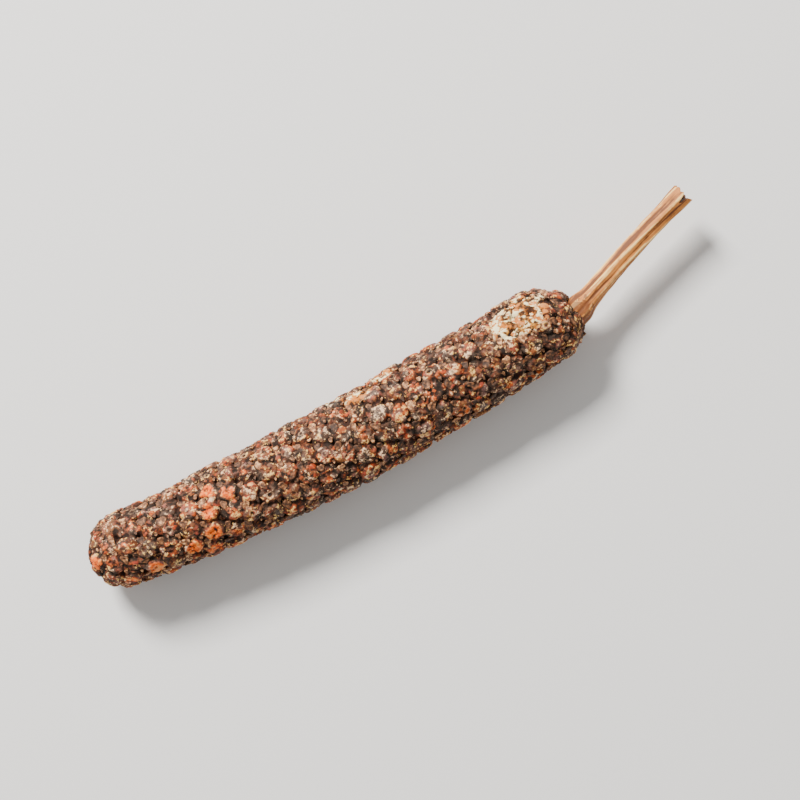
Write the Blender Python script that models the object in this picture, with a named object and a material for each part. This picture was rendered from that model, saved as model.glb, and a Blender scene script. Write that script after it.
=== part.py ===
"""A dried long pepper, lying on its side: a spike of small berries grown together round one axis, on its stalk.

Units are metres. X runs along the spike, from its tip at -X to its stalk at +X. Z is up, and the spike lies on z = 0.
Run with: blender --background --python part.py
"""

import math

import bmesh
import bpy
import numpy as np
from mathutils import Vector
from mathutils.geometry import delaunay_2d_cdt

MM = 0.001

# The spike's outline over the tops of its berries, before it is bent
SPIKE_LENGTH = 49.5 * MM
SPIKE_RADIUS = 4.0 * MM
THICKEST_AT = 27.0 * MM
TIP_TAPER = 0.55 * MM
BASE_TAPER = 0.30 * MM
TIP_CAP = 3.7 * MM
BASE_CAP = 4.3 * MM

# The berries, one beside another in one long spiral from the tip to the stalk
BERRY_AREA = 3.7 * MM * MM
BERRY_TURN = 0.36 * math.tau
BERRY_SHIFT = 0.12 * MM
BERRY_SWELL = 0.07 * MM
CREASE_DEPTH = 0.55 * MM
SETTLE_ROUNDS = 40
SETTLE_STEP = 0.2

# Where each ring of a berry's dome runs, as a share of the way from its middle to its crease,
# and how far it has dropped by there, as a share of the crease's depth
DOME_RINGS = ((0.42, 0.03), (0.76, 0.32))
SCAR_DIP = 0.07 * MM

# The whole body: broad uneven swellings, a shallow bend, a lean at the stalk's end, and how it lies
UNEVEN = 0.07 * MM
BEND = math.radians(12.0)
LEAN_FROM = 44.0 * MM
BASE_LEAN = 0.7 * MM
LYING_TILT = math.radians(0.1)
FLATTENED = 0.28 * MM

# The stalk, and the hole in the spike's base that it stands in
STALK_LENGTH = 13.8 * MM
STALK_RADIUS = 0.97 * MM
STALK_FOOT = 0.13 * MM
STALK_FOOT_REACH = 1.6 * MM
STALK_CUT_FLARE = 0.10 * MM
STALK_CUT_REACH = 1.6 * MM
STALK_RIBS = 6
STALK_RIB_DEPTH = 0.13 * MM
STALK_RINGS = 22
STALK_TURN = math.radians(14.0)
STALK_RISE = math.radians(3.0)
STALK_BOW = 0.16 * MM
STALK_TWIST = math.radians(40.0)
SOCKET_DEPTH = 2.0 * MM
FIT_GAP = 0.26 * MM
SOCKET_RADIUS = STALK_RADIUS + STALK_FOOT + FIT_GAP

SEED = 7


def clear_scene():
    for obj in list(bpy.data.objects):
        bpy.data.objects.remove(obj, do_unlink=True)


def outline_radius(x):
    """Radius over the berries' tops at x from the tip: a slow taper to both ends, each closed by half an ellipse."""
    towards_tip = np.clip((THICKEST_AT - x) / THICKEST_AT, 0, 1)
    towards_base = np.clip((x - THICKEST_AT) / (SPIKE_LENGTH - THICKEST_AT), 0, 1)
    body = SPIKE_RADIUS - TIP_TAPER * towards_tip**2 - BASE_TAPER * towards_base**2
    tip = np.clip(1 - x / TIP_CAP, 0, 1)
    base = np.clip(1 - (SPIKE_LENGTH - x) / BASE_CAP, 0, 1)
    return body * np.sqrt(1 - tip**2) * np.sqrt(1 - base**2)


class Outline:
    """The outline from the tip to the rim of the stalk's hole, as columns against the length along it.

    It runs on past the rim as a tube, so that the berries at the rim have neighbours on every side."""

    STEPS = 4000
    PAST_RIM = 4.0 * MM

    def __init__(self):
        x = SPIKE_LENGTH * (1 - np.cos(np.linspace(0, math.pi, self.STEPS))) / 2
        radius = outline_radius(x)
        keep = (radius >= SOCKET_RADIUS) | (x < SPIKE_LENGTH / 2)
        tube = x[keep][-1] + np.linspace(0, self.PAST_RIM, self.STEPS // 10)[1:]
        self.x = np.concatenate([x[keep], tube])
        self.radius = np.concatenate([radius[keep], np.full(len(tube), SOCKET_RADIUS)])
        step = np.hypot(np.diff(self.x), np.diff(self.radius))
        middle = (self.radius[1:] + self.radius[:-1]) / 2
        self.along = np.concatenate([[0], np.cumsum(step)])
        self.area = np.concatenate([[0], np.cumsum(math.tau * middle * step)])
        self.log_scale = np.concatenate([[0], np.cumsum(step / middle)])
        self.slope_x = np.gradient(self.x, self.along)
        self.slope_radius = np.gradient(self.radius, self.along)
        self.rim = self.along[keep.sum() - 1]

    def at(self, along, *columns):
        found = [np.interp(along, self.along, getattr(self, name)) for name in columns]
        return found[0] if len(found) == 1 else found

    def to_map(self, along, angle):
        """The surface drawn flat without changing any angle, as complex numbers: the tip is in the middle."""
        return np.exp(self.at(along, "log_scale") + 1j * np.asarray(angle))

    def from_map(self, spot):
        return np.interp(np.log(np.abs(spot)), self.log_scale, self.along), np.angle(spot)


def unevenness(x, angle):
    """Broad shallow swellings that leave the spike a little out of round."""
    share = x / SPIKE_LENGTH
    long_wave = np.sin(9.0 * share + 2 * angle + 0.2)
    short_waves = np.sin(21.0 * share - angle + 1.3) + np.sin(33.0 * share + 3 * angle + 0.5)
    return UNEVEN * (long_wave + 0.5 * short_waves)


def straight_point(outline, along, angle, drop=0.0):
    """Points on the spike before it is bent, sunk by drop below the outline."""
    x, radius, slope_x, slope_radius = outline.at(along, "x", "radius", "slope_x", "slope_radius")
    rise = unevenness(x, angle) * np.minimum(radius / SPIKE_RADIUS, 1) - drop
    radius = radius + rise * slope_x
    return np.stack([x - rise * slope_radius, radius * np.sin(angle), radius * np.cos(angle)], axis=-1)


def bent_point(point):
    """Carries points on the straight spike onto its bend, which is an arc in plan, with its lean and its tilt."""
    x, y, z = np.moveaxis(np.asarray(point), -1, 0)
    bend_radius = SPIKE_LENGTH / BEND
    heading = (x - SPIKE_LENGTH / 2) / bend_radius
    lean = np.clip((x - LEAN_FROM) / (SPIKE_LENGTH - LEAN_FROM), 0, 1) ** 2
    side = y - BASE_LEAN * lean
    bent_x = bend_radius * np.sin(heading) - side * np.sin(heading)
    bent_y = bend_radius * (1 - np.cos(heading)) + side * np.cos(heading)
    return np.stack([bent_x, bent_y, z + bent_x * math.sin(LYING_TILT)], axis=-1)


def lay_out_berries(outline):
    """Places one berry after another along the spiral, each with the same share of the surface.

    They then settle: where two are crowded they push each other apart, as they do when they swell."""
    rng = np.random.default_rng(SEED)
    count = int(outline.area[-1] / BERRY_AREA)
    number = np.arange(count)
    along = np.interp((number + 0.5) * BERRY_AREA, outline.area, outline.along)
    angle = number * BERRY_TURN
    pitch = math.sqrt(BERRY_AREA * 2 / math.sqrt(3))
    for _ in range(SETTLE_ROUNDS):
        spot = straight_point(outline, along, angle)
        apart = spot[:, None] - spot[None]
        gap = np.linalg.norm(apart, axis=-1) + np.eye(count) * SPIKE_LENGTH
        push = np.maximum(pitch / gap - 1, 0)[..., None] * apart
        move_x, move_y, move_z = SETTLE_STEP * push.sum(axis=1).T
        radius, slope_x, slope_radius = outline.at(along, "radius", "slope_x", "slope_radius")
        outward = move_y * np.sin(angle) + move_z * np.cos(angle)
        around = move_y * np.cos(angle) - move_z * np.sin(angle)
        angle = angle + around / np.maximum(radius, pitch / 4)
        along = np.clip(along + move_x * slope_x + outward * slope_radius, pitch / 8, outline.along[-1])
    angle = angle + rng.normal(0, BERRY_SHIFT, count) / outline.at(along, "radius")
    return along + rng.normal(0, BERRY_SHIFT, count), angle


def berry_cells(outline, along, angle):
    """Finds the corners where three berries meet. Returns the berries and corners on the flat map, and each cell."""
    berries = outline.to_map(along, angle)
    spots = [Vector((spot.real, spot.imag)) for spot in berries]
    _, _, triangles, first_berry, _, _ = delaunay_2d_cdt(spots, [], [], 0, 0.0)
    triangles = [[first_berry[index][0] for index in triangle] for triangle in triangles]
    corners = np.array([berries[triangle].mean() for triangle in triangles])
    cells = {int(number): [] for number in np.flatnonzero(along < outline.rim)}
    at_rim = np.zeros(len(corners), bool)
    for corner, triangle in enumerate(triangles):
        at_rim[corner] = any(number not in cells for number in triangle)
        for number in triangle:
            if number in cells:
                cells[number].append(corner)
    corners[at_rim] = outline.to_map(outline.rim, np.angle(corners[at_rim]))
    for number, around in cells.items():
        around.sort(key=lambda corner: np.angle(corners[corner] - berries[number]))
    return berries, corners, at_rim, cells


def build_spike(outline, mouth, stalk_way):
    """The spike as one closed skin: a low dome for each berry, a crease between berries, and a hole for the stalk."""
    rng = np.random.default_rng(SEED + 1)
    berries, corners, at_rim, cells = berry_cells(outline, *lay_out_berries(outline))
    skin = bmesh.new()

    def add_points(spots, drop):
        along, angle = outline.from_map(np.asarray(spots))
        points = bent_point(straight_point(outline, along, angle, drop))
        return [skin.verts.new(point) for point in points]

    used = sorted({corner for around in cells.values() for corner in around})
    crease = dict(zip(used, add_points(corners[used], np.where(at_rim[used], 0, CREASE_DEPTH))))
    for number, around in cells.items():
        swell = rng.normal(0, BERRY_SWELL)
        rings = [add_points([berries[number]], SCAR_DIP - swell)]
        for share, dropped in DOME_RINGS:
            spots = berries[number] + share * (corners[around] - berries[number])
            rings.append(add_points(spots, dropped * CREASE_DEPTH - swell))
        rings.append([crease[corner] for corner in around])
        for here in range(len(around)):
            after = (here + 1) % len(around)
            skin.faces.new([rings[0][0], rings[1][here], rings[1][after]])
            for inner, outer in zip(rings[1:], rings[2:]):
                skin.faces.new([inner[here], outer[here], outer[after], inner[after]])
    sink_socket(skin, mouth, stalk_way)
    return face_outward(skin)


def face_outward(skin):
    bmesh.ops.recalc_face_normals(skin, faces=skin.faces)
    if skin.calc_volume(signed=True) < 0:
        bmesh.ops.reverse_faces(skin, faces=skin.faces)
    return skin


def sink_socket(skin, mouth, stalk_way):
    """Rounds the open rim at the spike's base, draws it inward along the stalk's own line, and closes the bottom."""
    rim = [edge for edge in skin.edges if edge.is_boundary]
    bmesh.ops.subdivide_edges(skin, edges=rim, cuts=1)
    rim = [edge for edge in skin.edges if edge.is_boundary]
    for vert in {vert for edge in rim for vert in edge.verts}:
        vert.co = mouth + (vert.co - mouth).normalized() * SOCKET_RADIUS
    drawn = bmesh.ops.extrude_edge_only(skin, edges=rim)["geom"]
    bottom = [part for part in drawn if isinstance(part, bmesh.types.BMVert)]
    bmesh.ops.translate(skin, verts=bottom, vec=-SOCKET_DEPTH * stalk_way)
    bmesh.ops.holes_fill(skin, edges=[edge for edge in skin.edges if edge.is_boundary])


def stalk_direction():
    """The way the stalk leaves the spike, which is turned a little off the spike's own end."""
    heading = BEND / 2 + STALK_TURN
    flat = math.cos(STALK_RISE)
    return Vector((flat * math.cos(heading), flat * math.sin(heading), math.sin(STALK_RISE)))


def stalk_radius(reach, round_angle):
    """A thin woody stalk, ribbed where it dried, spread at its foot and a little at the cut."""
    foot = STALK_FOOT * math.exp(-((max(reach, 0) / STALK_FOOT_REACH) ** 2))
    in_socket = STALK_FOOT * min(max(-reach / SOCKET_DEPTH, 0), 1)
    cut = STALK_CUT_FLARE * math.exp(-(((STALK_LENGTH - reach) / STALK_CUT_REACH) ** 2))
    rib = STALK_RIB_DEPTH * (math.cos(STALK_RIBS * round_angle) - 1) / 2
    return STALK_RADIUS + foot - in_socket + cut + rib


def build_stalk(mouth, way):
    """The stalk as a ribbed tube along a slightly bowed line, from inside its hole to its cut end."""
    skin = bmesh.new()
    sideways = Vector((0, 0, 1)).cross(way).normalized()
    upward = way.cross(sideways)
    start = FIT_GAP - SOCKET_DEPTH
    sides = 2 * STALK_RIBS
    rings = []
    for ring in range(STALK_RINGS + 1):
        share = ring / STALK_RINGS
        reach = start + share * (STALK_LENGTH - start)
        bow = STALK_BOW * math.sin(math.pi * max(reach, 0) / STALK_LENGTH)
        centre = mouth + reach * way + bow * sideways
        twist = STALK_TWIST * share
        points = []
        for side in range(sides):
            angle = math.tau * side / sides
            radius = stalk_radius(reach, angle)
            points.append(centre + radius * (math.cos(angle + twist) * sideways + math.sin(angle + twist) * upward))
        rings.append([skin.verts.new(point) for point in points])
    for lower, upper in zip(rings, rings[1:]):
        for side in range(sides):
            after = (side + 1) % sides
            skin.faces.new([lower[side], lower[after], upper[after], upper[side]])
    skin.faces.new(rings[0])
    skin.faces.new(rings[-1])
    return face_outward(skin)


def lay_down(spike, stalk):
    """Lowers both until the lowest berries are pressed flat on z = 0, and centres them over the origin."""
    floor = min(vert.co.z for vert in spike.verts) + FLATTENED
    spots = np.array([vert.co for skin in (spike, stalk) for vert in skin.verts])
    centre = (spots.min(axis=0) + spots.max(axis=0)) / 2
    for skin in (spike, stalk):
        for vert in skin.verts:
            vert.co = (vert.co.x - centre[0], vert.co.y - centre[1], max(vert.co.z - floor, 0))


def material(name, colour, roughness):
    made = bpy.data.materials.new(name)
    made.use_nodes = True
    shader = made.node_tree.nodes["Principled BSDF"]
    shader.inputs["Base Color"].default_value = (*colour, 1)
    shader.inputs["Roughness"].default_value = roughness
    shader.inputs["Metallic"].default_value = 0
    return made


def add_object(name, skin, surface):
    mesh = bpy.data.meshes.new(name)
    bmesh.ops.triangulate(skin, faces=skin.faces)
    skin.to_mesh(mesh)
    skin.free()
    mesh.shade_smooth()
    mesh.set_sharp_from_angle(angle=math.radians(60))
    mesh.materials.append(surface)
    bpy.context.scene.collection.objects.link(bpy.data.objects.new(name, mesh))


def main():
    clear_scene()
    outline = Outline()
    way = stalk_direction()
    mouth = Vector(bent_point((outline.at(outline.rim, "x"), 0, 0)))
    spike = build_spike(outline, mouth, way)
    stalk = build_stalk(mouth, way)
    lay_down(spike, stalk)
    add_object("berry_spike", spike, material("dried_berries", (0.24, 0.12, 0.075), 0.75))
    add_object("stalk", stalk, material("dry_stalk", (0.54, 0.30, 0.15), 0.65))


main()
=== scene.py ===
# %% [markdown]
# A dried long pepper is not one fruit but a spike: a few hundred berries, each smaller than a
# peppercorn, that grew pressed together round one axis and dried there. Three things make its looks, and
# this script makes them in this order: how the berries are laid out, how each of them dried, and where
# its skin has rusted or rubbed off.
#
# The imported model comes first. It already has the right size and place, and nothing in it is moved.
# Finer berries could be scattered over it, but they would miss its own. So they are worked out by the
# same rules, and lie exactly where its plainer ones do.

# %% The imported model
import math
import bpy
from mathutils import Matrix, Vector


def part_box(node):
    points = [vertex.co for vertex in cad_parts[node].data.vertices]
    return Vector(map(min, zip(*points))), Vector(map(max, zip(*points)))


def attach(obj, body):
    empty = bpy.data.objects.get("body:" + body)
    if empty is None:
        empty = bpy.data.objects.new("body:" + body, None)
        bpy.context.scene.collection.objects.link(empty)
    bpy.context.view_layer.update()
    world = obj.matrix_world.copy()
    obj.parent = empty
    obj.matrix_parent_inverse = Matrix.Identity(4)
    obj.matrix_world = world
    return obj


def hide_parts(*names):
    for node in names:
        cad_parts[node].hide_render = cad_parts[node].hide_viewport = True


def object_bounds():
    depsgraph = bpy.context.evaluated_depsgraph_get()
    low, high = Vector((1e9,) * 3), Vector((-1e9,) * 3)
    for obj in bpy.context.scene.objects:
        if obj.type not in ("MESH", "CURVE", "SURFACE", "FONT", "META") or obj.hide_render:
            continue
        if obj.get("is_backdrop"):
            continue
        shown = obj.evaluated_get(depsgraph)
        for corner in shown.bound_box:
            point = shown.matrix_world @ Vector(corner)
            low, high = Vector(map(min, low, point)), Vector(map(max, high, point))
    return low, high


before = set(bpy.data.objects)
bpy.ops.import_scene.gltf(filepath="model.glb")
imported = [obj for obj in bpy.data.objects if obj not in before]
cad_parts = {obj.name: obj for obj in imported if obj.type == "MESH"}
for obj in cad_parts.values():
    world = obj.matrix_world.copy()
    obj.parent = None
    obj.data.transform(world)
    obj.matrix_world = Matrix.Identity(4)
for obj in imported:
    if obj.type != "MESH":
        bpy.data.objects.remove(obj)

from types import SimpleNamespace

import bpy
import numpy as np
from mathutils import Euler, Vector, noise
from mathutils.geometry import delaunay_2d_cdt

MM = 0.001
cad_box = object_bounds()
for node in sorted(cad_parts):
    low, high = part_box(node)
    print(node, "measures", [round(side / MM, 1) for side in high - low], "mm")

# %% [markdown]
# The outline is a slow taper towards both ends, each closed by half an ellipse. A Screw modifier could
# turn it into a body. Here it is kept as columns of numbers against the length along it, because all
# that follows asks the same few questions: how thick is the spike here, which way does its surface face,
# and how much surface lies between here and the tip.
#
# One column is special. Walking along the outline, it adds up each step divided by the radius there.
# Used as the logarithm of a distance from a centre, it draws the whole spike as a flat disc in which no
# angle is changed, with the tip in the middle. A round berry stays round on that disc, so flat geometry
# can lay the berries out.

# %% The outline
SPIKE_LENGTH = 49.5 * MM
SPIKE_RADIUS = 4.0 * MM
THICKEST_AT = 27.0 * MM
TIP_TAPER = 0.55 * MM
BASE_TAPER = 0.30 * MM
TIP_CAP = 3.7 * MM
BASE_CAP = 4.3 * MM
STALK_RADIUS = 0.97 * MM
STALK_FOOT = 0.13 * MM
FIT_GAP = 0.26 * MM
SOCKET_RADIUS = STALK_RADIUS + STALK_FOOT + FIT_GAP


def outline_radius(x):
    towards_tip = np.clip((THICKEST_AT - x) / THICKEST_AT, 0, 1)
    towards_base = np.clip((x - THICKEST_AT) / (SPIKE_LENGTH - THICKEST_AT), 0, 1)
    body = SPIKE_RADIUS - TIP_TAPER * towards_tip**2 - BASE_TAPER * towards_base**2
    tip = np.clip(1 - x / TIP_CAP, 0, 1)
    base = np.clip(1 - (SPIKE_LENGTH - x) / BASE_CAP, 0, 1)
    return body * np.sqrt(1 - tip**2) * np.sqrt(1 - base**2)


class Outline:
    """The outline from tip to stalk, and on past it as a tube, so that the last berries have neighbours."""

    STEPS = 4000
    TUBE_STEPS = 400
    PAST_RIM = 4.0 * MM

    def __init__(self):
        x = SPIKE_LENGTH * (1 - np.cos(np.linspace(0, math.pi, self.STEPS))) / 2
        radius = outline_radius(x)
        keep = (radius >= SOCKET_RADIUS) | (x < SPIKE_LENGTH / 2)
        tube = x[keep][-1] + np.linspace(0, self.PAST_RIM, self.TUBE_STEPS)[1:]
        self.x = np.concatenate([x[keep], tube])
        self.radius = np.concatenate([radius[keep], np.full(len(tube), SOCKET_RADIUS)])
        step = np.hypot(np.diff(self.x), np.diff(self.radius))
        middle = (self.radius[1:] + self.radius[:-1]) / 2
        self.along = np.concatenate([[0], np.cumsum(step)])
        self.area = np.concatenate([[0], np.cumsum(math.tau * middle * step)])
        self.log_scale = np.concatenate([[0], np.cumsum(step / middle)])
        self.slope_x = np.gradient(self.x, self.along)
        self.slope_radius = np.gradient(self.radius, self.along)
        self.rim = self.along[keep.sum() - 1]

    def at(self, along, *columns):
        found = [np.interp(along, self.along, getattr(self, name)) for name in columns]
        return found[0] if len(found) == 1 else found

    def to_map(self, along, angle):
        return np.exp(self.at(along, "log_scale") + 1j * np.asarray(angle))

    def from_map(self, spot):
        return np.interp(np.log(np.abs(spot)), self.log_scale, self.along), np.angle(spot)


outline = Outline()
print("the spike's skin covers", round(outline.at(outline.rim, "area") / MM**2), "square mm")

# %% [markdown]
# A point on the skin is named by how far along the outline it lies and at what angle round the axis,
# where 0 is the top. Functions carry it into the model. The first stands it on the straight spike, a
# little out of round. The last bends the spike in plan, as it dried, and leans its last few
# millimetres to one side. A Simple Deform modifier could bend it as well, but the layout has to know
# where each point ends up.

# %% From the outline to the bent spike
UNEVEN = 0.07 * MM
UNEVEN_WAVES = ((1.0, 9.0, 2, 0.2), (0.5, 21.0, -1, 1.3), (0.5, 33.0, 3, 0.5))
BEND = math.radians(12.0)
LEAN_FROM = 44.0 * MM
BASE_LEAN = 0.7 * MM
LYING_TILT = math.radians(0.1)


def unevenness(x, angle):
    """Waves along the spike and round it, which keep the outline from being a perfect one."""
    share = x / SPIKE_LENGTH
    return UNEVEN * sum(height * np.sin(rate * share + turns * angle + start)
                        for height, rate, turns, start in UNEVEN_WAVES)


def straight_point(along, angle, drop=0.0):
    """Points on the straight spike, sunk by drop below its outline."""
    x, radius, slope_x, slope_radius = outline.at(along, "x", "radius", "slope_x", "slope_radius")
    rise = unevenness(x, angle) * np.minimum(radius / SPIKE_RADIUS, 1) - drop
    radius = radius + rise * slope_x
    return np.stack([x - rise * slope_radius, radius * np.sin(angle), radius * np.cos(angle)], axis=-1)


def place_on_skin(spots):
    """Where spots of the flat map lie on the straight spike."""
    return straight_point(*outline.from_map(spots))


def bent_point(point):
    x, y, z = np.moveaxis(np.asarray(point), -1, 0)
    bend_radius = SPIKE_LENGTH / BEND
    heading = (x - SPIKE_LENGTH / 2) / bend_radius
    lean = np.clip((x - LEAN_FROM) / (SPIKE_LENGTH - LEAN_FROM), 0, 1) ** 2
    side = y - BASE_LEAN * lean
    bent_x = bend_radius * np.sin(heading) - side * np.sin(heading)
    bent_y = bend_radius * (1 - np.cos(heading)) + side * np.cos(heading)
    return np.stack([bent_x, bent_y, z + bent_x * math.sin(LYING_TILT)], axis=-1)


print("the spike bends", round(math.degrees(BEND)), "degrees from end to end")

# %% [markdown]
# Berries come off the growing tip one by one, each a fixed part of a turn after the last. That one rule
# gives the crossing rows that the eye sees, which berries set down at random would never show. Each
# berry then takes the same share of the skin, and where two are crowded they push apart. The same seed
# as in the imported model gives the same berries.

# %% Laying out the berries
BERRY_AREA = 3.7 * MM * MM
BERRY_TURN = 0.36 * math.tau
BERRY_SHIFT = 0.12 * MM
SETTLE_ROUNDS = 40
SETTLE_STEP = 0.2
SEED = 7


def lay_out_berries():
    rng = np.random.default_rng(SEED)
    count = int(outline.area[-1] / BERRY_AREA)
    number = np.arange(count)
    along = np.interp((number + 0.5) * BERRY_AREA, outline.area, outline.along)
    angle = number * BERRY_TURN
    pitch = math.sqrt(BERRY_AREA * 2 / math.sqrt(3))
    for _ in range(SETTLE_ROUNDS):
        spot = straight_point(along, angle)
        apart = spot[:, None] - spot[None]
        gap = np.linalg.norm(apart, axis=-1) + np.eye(count) * SPIKE_LENGTH
        push = np.maximum(pitch / gap - 1, 0)[..., None] * apart
        move_x, move_y, move_z = SETTLE_STEP * push.sum(axis=1).T
        radius, slope_x, slope_radius = outline.at(along, "radius", "slope_x", "slope_radius")
        outward = move_y * np.sin(angle) + move_z * np.cos(angle)
        around = move_y * np.cos(angle) - move_z * np.sin(angle)
        angle = angle + around / np.maximum(radius, pitch / 4)
        along = np.clip(along + move_x * slope_x + outward * slope_radius, pitch / 8, outline.along[-1])
    angle = angle + rng.normal(0, BERRY_SHIFT, count) / outline.at(along, "radius")
    return along + rng.normal(0, BERRY_SHIFT, count), angle


berry_along, berry_angle = lay_out_berries()
on_spike = berry_along < outline.rim
print(int(on_spike.sum()), "berries, and", int((~on_spike).sum()), "past the rim")

# %% [markdown]
# Where berries press together they share a crease, and three creases meet at a corner. Grooves could be
# cut between round berries one by one. On the flat disc there is a classic pair instead: a Delaunay net
# joins neighbouring berries, and each of its triangles gives one corner. Corners of the last row are
# drawn to the rim, where the stalk comes out.

# %% The creases between berries
def berry_cells(along, angle):
    """The berries and corners on the flat map, which corners lie on the rim, and those round each berry."""
    spots = outline.to_map(along, angle)
    flat = [Vector((spot.real, spot.imag)) for spot in spots]
    _, _, triangles, first_berry, _, _ = delaunay_2d_cdt(flat, [], [], 0, 0.0)
    triangles = [[first_berry[index][0] for index in triangle] for triangle in triangles]
    meeting = np.array([spots[triangle].mean() for triangle in triangles])
    around_each = {int(number): [] for number in np.flatnonzero(along < outline.rim)}
    on_rim = np.zeros(len(meeting), bool)
    for corner, triangle in enumerate(triangles):
        on_rim[corner] = any(number not in around_each for number in triangle)
        for number in triangle:
            if number in around_each:
                around_each[number].append(corner)
    meeting[on_rim] = outline.to_map(outline.rim, np.angle(meeting[on_rim]))
    for number, around in around_each.items():
        around.sort(key=lambda corner: np.angle(meeting[corner] - spots[number]))
    return spots, meeting, on_rim, around_each


berries, corners, at_rim, cells = berry_cells(berry_along, berry_angle)
berry_place = place_on_skin(np.array([berries[number] for number in cells]))
print(sum(len(around) for around in cells.values()) / len(cells), "neighbours for each berry, on average")

# %% [markdown]
# The stalk leaves the spike a little off its end. Its plain points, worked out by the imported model's own
# rule, also tell where that model stands: their lowest corner has to be the lowest corner of its stalk's
# box. The difference is the one shift that carries everything here into place. It could be written down
# as a number, but then it would be wrong as soon as the model changed.

# %% The stalk's line, and the shift into place
STALK_LENGTH = 13.8 * MM
STALK_FOOT_REACH = 1.6 * MM
STALK_CUT_FLARE = 0.10 * MM
STALK_CUT_REACH = 1.6 * MM
STALK_RIBS = 6
STALK_RIB_DEPTH = 0.13 * MM
STALK_RINGS = 22
STALK_TURN = math.radians(14.0)
STALK_RISE = math.radians(3.0)
STALK_BOW = 0.16 * MM
STALK_TWIST = math.radians(40.0)
SOCKET_DEPTH = 2.0 * MM
STALK_START = FIT_GAP - SOCKET_DEPTH

stalk_heading = BEND / 2 + STALK_TURN
stalk_way = np.array([math.cos(STALK_RISE) * math.cos(stalk_heading),
                      math.cos(STALK_RISE) * math.sin(stalk_heading), math.sin(STALK_RISE)])
stalk_side = np.array([-math.sin(stalk_heading), math.cos(stalk_heading), 0.0])
stalk_up = np.cross(stalk_way, stalk_side)
mouth = bent_point((outline.at(outline.rim, "x"), 0, 0))


def stalk_radius(reach, angle):
    foot = STALK_FOOT * np.exp(-((np.maximum(reach, 0) / STALK_FOOT_REACH) ** 2))
    in_socket = STALK_FOOT * np.clip(-reach / SOCKET_DEPTH, 0, 1)
    cut = STALK_CUT_FLARE * np.exp(-(((STALK_LENGTH - reach) / STALK_CUT_REACH) ** 2))
    return STALK_RADIUS + foot - in_socket + cut + STALK_RIB_DEPTH * (np.cos(STALK_RIBS * angle) - 1) / 2


def stalk_point(reach, angle, radius):
    """Points round the stalk's bowed line, at a reach from its foot and an angle that twists along it."""
    bow = STALK_BOW * np.sin(math.pi * np.clip(reach / STALK_LENGTH, 0, 1))
    turned = angle + STALK_TWIST * (reach - STALK_START) / (STALK_LENGTH - STALK_START)
    side = np.multiply.outer(bow + radius * np.cos(turned), stalk_side)
    up = np.multiply.outer(radius * np.sin(turned), stalk_up)
    return mouth + np.multiply.outer(reach, stalk_way) + side + up


plain_reach, plain_angle = [grid.ravel() for grid in np.meshgrid(
    np.linspace(STALK_START, STALK_LENGTH, STALK_RINGS + 1),
    math.tau * np.arange(2 * STALK_RIBS) / (2 * STALK_RIBS), indexing="ij")]
plain_stalk = stalk_point(plain_reach, plain_angle, stalk_radius(plain_reach, plain_angle))
shift = np.array(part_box("stalk")[0]) - plain_stalk.min(axis=0)
print("everything moves by", (shift / MM).round(3), "mm; the plain stalk is off by",
      np.abs(plain_stalk.max(axis=0) + shift - np.array(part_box("stalk")[1])).max() / MM, "mm")

# %% [markdown]
# No two berries dried alike. A handful of berries could be modelled and copied round, but the eye soon
# finds such repeats. So each gets a few numbers of its own: how far it swelled, how much its top fell
# in, which way it leans, where its little round scar sits and how dark it is. They are drawn once, in
# one order, from one seed, so every run gives the same pepper.

# %% How each berry dried
BERRY_SWELL = 0.07 * MM
SUNKEN_SHARE = 0.62
SUNKEN_AMOUNT = (0.3, 1.0)
LEAN = (0.02 * MM, 0.09 * MM)
SCAR_OFF_MIDDLE = (0.0, 0.20)
SCAR_SIZE = (0.17 * MM, 0.30 * MM)
SCAR_DEPTH = (0.03 * MM, 0.10 * MM)
WRINKLES = (6, 10)
count = len(cells)
swell = np.random.default_rng(SEED + 1).normal(0, BERRY_SWELL, count)
dice = np.random.default_rng(SEED + 2)
sunken = np.where(dice.random(count) < SUNKEN_SHARE, dice.uniform(*SUNKEN_AMOUNT, count), 0.0)
lean_way = dice.uniform(0, math.tau, count)
lean = dice.uniform(*LEAN, count)
scar_way = dice.uniform(0, math.tau, count)
scar_shift = dice.uniform(*SCAR_OFF_MIDDLE, count)
scar_size = dice.uniform(*SCAR_SIZE, count)
scar_depth = dice.uniform(*SCAR_DEPTH, count)
wrinkle_count = dice.integers(*WRINKLES, count)
wrinkle_way = dice.uniform(0, math.tau, count)
tone = dice.random(count)
print(int((sunken > 0).sum()), "berries have sunken tops")

# %% [markdown]
# A few berries ripened further than the others and dried orange, like rust. Rubbed skin follows the
# handling of the pepper instead. Noise could choose both, but they are what one pepper is known by. So
# they are marked as places on the spike: millimetres from the tip and degrees round from the top. A
# slanting row of rusty berries crosses the spike near its tip, some more lie at the tip itself, near the
# stalk a patch has been rubbed down to the pale flesh, and small chips are gone on one side. A rusty
# place belongs to the berry nearest to it.

# %% Where it rusted and where it was rubbed
RUST_SPOTS = ((9.8, -46, 0.9), (11.0, -20, 1.0), (12.3, -8, 1.0), (12.3, 9, 0.8), (13.1, 23, 0.5),
              (12.8, 38, 0.7), (14.8, 26, 0.7), (11.5, -67, 0.7), (12.6, -34, 0.4), (15.6, -68, 0.5),
              (5.1, -40, 1.0), (2.9, -35, 0.6), (0.3, 12, 0.8), (2.0, 16, 0.5), (4.3, -2, 0.4),
              (5.3, 14, 0.4), (17.2, 39, 0.4), (25.6, 40, 0.4), (34.6, -58, 0.6), (35.6, -28, 0.5),
              (34.0, -12, 0.4), (30.3, 88, 0.6), (40.1, -6, 0.3), (26.7, 86, 0.5), (8.2, 150, 0.8),
              (19.0, -150, 0.7), (27.0, 125, 0.5), (38.0, -120, 0.5), (44.0, 165, 0.6))
RUBBED = (44.2, 33, 3.5 * MM, 2.6 * MM)
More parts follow.
